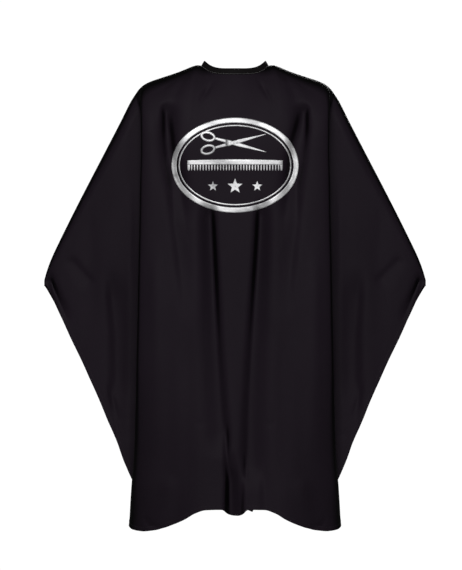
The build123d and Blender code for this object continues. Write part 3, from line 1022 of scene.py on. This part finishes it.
LAP_OFFSET = 7.2  # from the ring out to the band's outer end and the tab
TAB_ROUND = 7.0  # length of the tab's rounded end
STITCH_LEVEL = -0.80  # of the half height
STITCH_SUNK = 0.30  # how deep the row of stitches pulls into the band


def lap(angle):
    return LAP_OFFSET * float(ease(angle, LAP_START, LAP_END))


def tab_stand_off(angle):
    return LAP_OFFSET


def strip_outline():
    """Outline across a folded strip: soft faces, a round fold on top and a stitched groove low down."""
    outline = []
    for turn in np.linspace(0, 2 * pi, 44, endpoint=False):
        c, s = cos(turn), sin(turn)
        x = BAND_HALF * np.sign(c) * abs(c) ** 0.45
        y = BAND_HALF_HEIGHT * np.sign(s) * abs(s) ** 0.75
        groove = 0.32 * np.exp(-((y / BAND_HALF_HEIGHT - STITCH_LEVEL) / 0.1) ** 2)
        outline.append((x - np.sign(x) * groove, y))
    return outline


def strip_mesh(name, angles, stand_off, end_round=0.0):
    """A strip that follows the ring, with closed ends. end_round narrows the last part like a rounded tab."""
    outline = strip_outline()
    points = []
    for angle in angles:  # the cloth puckers a little, most at its lower edge
        pucker = 0.13 * sin(angle * 0.9) + 0.10 * sin(angle * 2.3 + 1.0)
        origin, out, up = ring_frame(angle, stand_off(angle))
        tight = 1.0
        if end_round:
            left = (angles[-1] - angle) * RING_HALF_WIDTH * pi / 180
            tight = sqrt(max(0.03, 1 - max(0.0, 1 - left / end_round) ** 2))
        foot = -band_foot(angle) / BAND_HALF_HEIGHT
        for x, y in outline:
            low = 0.5 - 0.5 * y / BAND_HALF_HEIGHT
            level = y * tight if y > 0 else y * tight * foot
            points.append(origin + out * (x + pucker * low * np.sign(x)) + up * level)
    return add_mesh(name, points, tube_faces(len(angles), len(outline)), BAND)


def topstitch(name, angles, stand_off):
    """The row of stitches low on a strip's outer face."""
    line = []
    normals = []
    for angle in angles:
        origin, out, up = ring_frame(angle, stand_off(angle))
        line.append(origin + out * (BAND_HALF - STITCH_SUNK) + up * STITCH_LEVEL * -band_foot(angle))
        normals.append(out)
    runs = [(np.array(line), np.array(normals))]
    return stitching(name, runs, BAND_THREAD, BAND_THREAD_RADIUS)


band_cloth = strip_mesh("band_cloth", np.linspace(UNDER_END, OUTER_END, BAND_STATIONS), lap)
stand_in(band_cloth, "neck_band", "cape")
tab_cloth = strip_mesh("tab_cloth", np.linspace(TAB_START, TAB_END, TAB_STATIONS), tab_stand_off, TAB_ROUND)
stand_in(tab_cloth, "closure_tab", "tab")
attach(topstitch("band_topstitch", np.linspace(UNDER_END + 1, OUTER_END - 1, 500), lap), "cape")
tab_angles = np.linspace(TAB_START + 0.7, TAB_END - 5, TAB_STATIONS)
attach(topstitch("tab_topstitch", tab_angles, tab_stand_off), "tab")


# ---- hanging loop and care label

LOOP_ANGLE = 24.0
LOOP_STAND_OFF = 9.2
LOOP_GAP = 2.0  # from the band's lower edge to the loop
LOOP_WIDTH = 34.0
LOOP_DROP = 30.0
TAPE_WIDTH = 6.0
TAPE_THICK = 1.1
LOOP_STEPS = 72
LOOP_SLACK = 0.9  # how far its bottom hangs out
TAPE_HALF_SECTION = [(-1, -0.6), (-0.9, -1), (0, -1.1), (0.9, -1), (1, -0.6)]  # its inner face


def loop_ring():
    """The loop's flat tape bent into a rounded frame, a little slack at the bottom."""
    origin, out, up = ring_frame(LOOP_ANGLE, LOOP_STAND_OFF)
    origin = origin - up * (BAND_HALF_HEIGHT + LOOP_GAP)
    along = np.cross(out, up)
    section = TAPE_HALF_SECTION + [(u, -v) for u, v in reversed(TAPE_HALF_SECTION)]
    points = []
    for i in range(LOOP_STEPS):
        turn = 2 * pi * i / LOOP_STEPS
        c, s = cos(turn), sin(turn)
        shape_c = np.sign(c) * abs(c) ** 0.42
        shape_s = np.sign(s) * abs(s) ** 0.42
        for u, v in section:
            inset = TAPE_WIDTH / 2 * (1 - u)
            x = (LOOP_WIDTH / 2 - inset) * shape_c
            y = -LOOP_DROP / 2 + (LOOP_DROP / 2 - inset) * shape_s
            slack = LOOP_SLACK * (1 - cos(pi * -y / LOOP_DROP)) / 2
            points.append(origin + along * x + up * y + out * (v * TAPE_THICK / 2 + slack))
    faces = turned(tube_faces(LOOP_STEPS, len(section), closed=True))
    return add_mesh("loop_tape", points, faces, TAPE)


stand_in(loop_ring(), "hanging_loop", "loop")

LABEL_WIDTH, LABEL_HEIGHT, LABEL_THICK = 16.0, 26.0, 0.7
LABEL_TILT = radians(24)
LABEL_SHIFT = 2.0  # along the hem and up it, off the CAD label's middle
LABEL_COLUMNS, LABEL_ROWS = 10, 16


def label_tag():
    """A blank woven label, folded over and curling in a little."""
    low, high = (np.array(corner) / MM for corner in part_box("care_label"))
    across = np.array([cos(LABEL_TILT), 0, -sin(LABEL_TILT)])
    up = np.array([sin(LABEL_TILT), 0, cos(LABEL_TILT)])
    out = np.array([0, -1.0, 0])
    middle = (low + high) / 2 + up * LABEL_SHIFT + across * LABEL_SHIFT
    points = []
    for face in (1, -1):
        for i, j in np.ndindex(LABEL_COLUMNS + 1, LABEL_ROWS + 1):
            u = i / LABEL_COLUMNS - 0.5
            v = j / LABEL_ROWS
            curl = 2.6 * (v - 0.35) ** 2 * (1 + 0.6 * u) - 0.3
            puff = 0.5 * LABEL_THICK * (0.85 + 0.15 * sin(pi * v))
            place = across * u * LABEL_WIDTH - up * (v - 0.5) * LABEL_HEIGHT
            points.append(middle + place + out * (face * puff - curl))
    count = len(points) // 2
    ids = np.arange(count).reshape(LABEL_COLUMNS + 1, LABEL_ROWS + 1)
    return add_mesh("label_tag", points, slab_faces(grid_quads(ids)[:, ::-1], count), TAPE)


stand_in(label_tag(), "care_label", "label")


# ---- the print on the chest

# A plain barber's emblem: an oval ring with a comb across it, scissors above and stars below.
PRINT_LEVEL = -258.0
PRINT_HALF = np.array([150.0, 112.0])
PRINT_RIM = 12.0
RIM_GAP, LINE_WIDTH = 5.0, 3.0  # a thin line runs inside the rim
FILM_LIFT = 0.45  # from the cloth's outer face to the film's
FILM_SUNK = 0.1  # the film's back lies this deep in the cloth
FILM_CELL = 3.0

front_quads = np.concatenate([cloth.faces(*part) for part in FRONT_PARTS])
front_tree = BVHTree.FromPolygons(cloth.points.tolist(), front_quads.tolist(), all_triangles=False)


def on_cloth(x, z, lift):
    hit, normal, _, _ = front_tree.ray_cast(Vector((x, -600, z)), Vector((0, 1, 0)))
    outwards = np.array(normal) * (1 if normal.y < 0 else -1)
    return np.array(hit) + outwards * (CLOTH_HALF + lift)


class Film:
    """Strips of printed film, gathered into one piece. Lines are (x, z) points, z from the print's level."""

    def __init__(self):
        self.points = []
        self.faces = []

    def strip(self, left, right, closed=False):
        """Film between two lines of the same count of points."""
        left, right = (np.array(line, float) + (0, PRINT_LEVEL) for line in (left, right))
        wide = np.linalg.norm(left - right, axis=1).max()
        cells = max(2, int(np.ceil(wide / FILM_CELL)))
        first = len(self.points)
        for lift in (FILM_LIFT, -FILM_SUNK):
            for i, j in np.ndindex(len(left), cells + 1):
                x, z = left[i] + (right[i] - left[i]) * j / cells
                self.points.append(on_cloth(x, z, lift))
        count = len(left) * (cells + 1)
        ids = np.arange(count).reshape(len(left), cells + 1)
        if closed:
            ids = np.concatenate([ids, ids[:1]])
        self.faces += (np.array(slab_faces(grid_quads(ids), count)) + first).tolist()

    def ring(self, centre, outer, inner, steps, turn=0.0):
        angles = np.linspace(0, 2 * pi, steps, endpoint=False)

        def oval(half):
            x, z = half[0] * np.cos(angles), half[1] * np.sin(angles)
            return np.stack([
                centre[0] + x * cos(turn) - z * sin(turn),
                centre[1] + x * sin(turn) + z * cos(turn)], axis=1)

        self.strip(oval(outer), oval(inner), closed=True)

    def ribbon(self, path, widths):
        """A strip along a line, as wide at each point as widths says."""
        path = np.array(path, float)
        along = np.gradient(path, axis=0)
        along /= np.linalg.norm(along, axis=1, keepdims=True)
        side = np.stack([-along[:, 1], along[:, 0]], axis=1)
        half = np.array(widths, float)[:, None] / 2
        self.strip(path + side * half, path - side * half)


def add_comb(film):
    """A spine, two end teeth and a row of fine ones."""
    half, top, foot, tip, teeth = 112.0, 11.0, 1.0, -13.0, 33
    xs = np.linspace(-half, half, 60)
    bow = 2.5 * (1 - (xs / half) ** 2)
    film.strip(np.stack([xs, top + bow], axis=1), np.stack([xs, np.full(60, foot)], axis=1))
    for i in range(teeth):
        x = -half + 3 + (2 * half - 6) * i / (teeth - 1)
        wide = 6.0 if i in (0, teeth - 1) else 3.2
        line = [(x, z) for z in np.linspace(foot, tip, 5)]
        film.ribbon(line, [wide, wide, wide * 0.95, wide * 0.85, wide * 0.5])


def add_scissors(film):
    """Half open, lying above the comb."""
    pivot = np.array([-6.0, 52.0])
    for swing in (radians(15), radians(-15)):
        along = np.array([cos(swing), sin(swing)])
        blade = [pivot + along * d for d in np.linspace(-14, 82, 18)]
        film.ribbon(blade, [8.5] * 5 + list(np.linspace(9.0, 1.2, 13)))
        hilt = [pivot - along * d for d in np.linspace(15, 44, 8)]
        film.ribbon(hilt, np.linspace(7.5, 5.0, 8))
        film.ring(pivot - along * 60, (18, 12), (12.5, 6.8), steps=48, turn=swing)


def add_star(film, x, z, size):
    corners = []
    for k in range(10):
        turn = pi / 2 + k * pi / 5
        reach = size if k % 2 == 0 else size * 0.42
        corners.append((x + reach * cos(turn), z + reach * sin(turn)))
    outline = []
    for a, b in zip(corners, corners[1:] + corners[:1]):
        outline += [(a[0] + (b[0] - a[0]) * t, a[1] + (b[1] - a[1]) * t) for t in (0, 0.25, 0.5, 0.75)]
    core = [(x + 0.04 * (px - x), z + 0.04 * (pz - z)) for px, pz in outline]
    film.strip(outline, core, closed=True)


def emblem_film():
    film = Film()
    inside = PRINT_HALF - PRINT_RIM - RIM_GAP
    film.ring((0, 0), PRINT_HALF, PRINT_HALF - PRINT_RIM, steps=200)
    film.ring((0, 0), inside, inside - LINE_WIDTH, steps=180)
    add_comb(film)
    add_scissors(film)
    for x, size in ((-52, 13.0), (0, 19.0), (52, 13.0)):
        add_star(film, x, -50, size)
    return film


film = emblem_film()
emblem = add_mesh("chest_emblem", film.points, film.faces, SILVER)
stand_in(emblem, "chest_print", "cape")


# ---- finishes of the CAD's own nodes

CAD_FINISHES = {"interlining": (LINING, "interlining"), "spring": (SPRING, "spring_wire")}

for node_name, node in frame["nodes"].items():
    if node.hide_render:
        continue
    finish, slot = (NICKEL, "snap_metal")
    for word, choice in CAD_FINISHES.items():
        if word in node_name:
            finish, slot = choice
    node.data.materials.clear()
    node.data.materials.append(finish)


# ---- studio

FLOOR_LEVEL = -1.62  # metres, as are all places from here on
STUDIO = 30.0
WHITE = (1, 1, 1, 1)
BACKDROP = 1.05  # how brightly the camera sees the floor and the air
MIDDLE = (0, 0, -0.54)


def white_to_camera(tree, shader, kind, output):
    """Show plain white to the camera, and let the shader itself light the cape."""
    bright = tree.nodes.new(kind)
    set_inputs(bright, {"Strength": BACKDROP, "Color": WHITE})
    path = tree.nodes.new("ShaderNodeLightPath")
    mix = tree.nodes.new("ShaderNodeMixShader")
    tree.links.new(path.outputs["Is Camera Ray"], mix.inputs["Fac"])
    tree.links.new(shader.outputs[0], mix.inputs[1])
    tree.links.new(bright.outputs[0], mix.inputs[2])
    tree.links.new(mix.outputs[0], tree.nodes[output].inputs["Surface"])


def studio_floor():
    """Pale floor that fades into the white air all round, so that every side can be viewed."""
    material = bpy.data.materials.new("studio_white")
    material.use_nodes = True
    shader = material.node_tree.nodes["Principled BSDF"]
    set_inputs(shader, {"Base Color": (0.30, 0.30, 0.30, 1), "Roughness": 0.9})
    white_to_camera(material.node_tree, shader, "ShaderNodeEmission", "Material Output")
    half = STUDIO / MM
    level = FLOOR_LEVEL / MM
    corners = [(-half, -half, level), (half, -half, level), (half, half, level), (-half, half, level)]
    return add_mesh("studio_floor", corners, [(0, 1, 2, 3)], material)


def studio_air():
    """White to the camera, but only a weak glow on the cloth."""
    world = bpy.data.worlds.new("studio_air")
    world.use_nodes = True
    weak = world.node_tree.nodes["Background"]
    set_inputs(weak, {"Color": WHITE, "Strength": 0.07})
    white_to_camera(world.node_tree, weak, "ShaderNodeBackground", "World Output")
    return world


def area_light(name, place, size, power):
    data = bpy.data.lights.new(name, "AREA")
    data.size = size
    data.energy = power
    lamp = bpy.data.objects.new(name, data)
    lamp.location = place
    lamp.rotation_euler = (Vector(MIDDLE) - Vector(place)).to_track_quat("-Z", "Y").to_euler()
    bpy.context.scene.collection.objects.link(lamp)


studio_floor()
area_light("key", (-0.5, -4.2, 2.4), 2.0, 146)
area_light("fill", (0.5, -5.0, -0.7), 2.4, 64)
area_light("rear", (0.6, 4.6, 0.9), 2.0, 170)
bpy.context.scene.world = studio_air()
bpy.context.scene.view_settings.view_transform = "Standard"

camera_data = bpy.data.cameras.new("camera")
camera_data.sensor_width = 36
camera_data.lens = 157.9
camera = bpy.data.objects.new("camera", camera_data)
camera.location = (-0.0096, -6.0, -0.540)
camera.rotation_euler = (pi / 2, 0, 0)
bpy.context.scene.collection.objects.link(camera)
bpy.context.scene.camera = camera
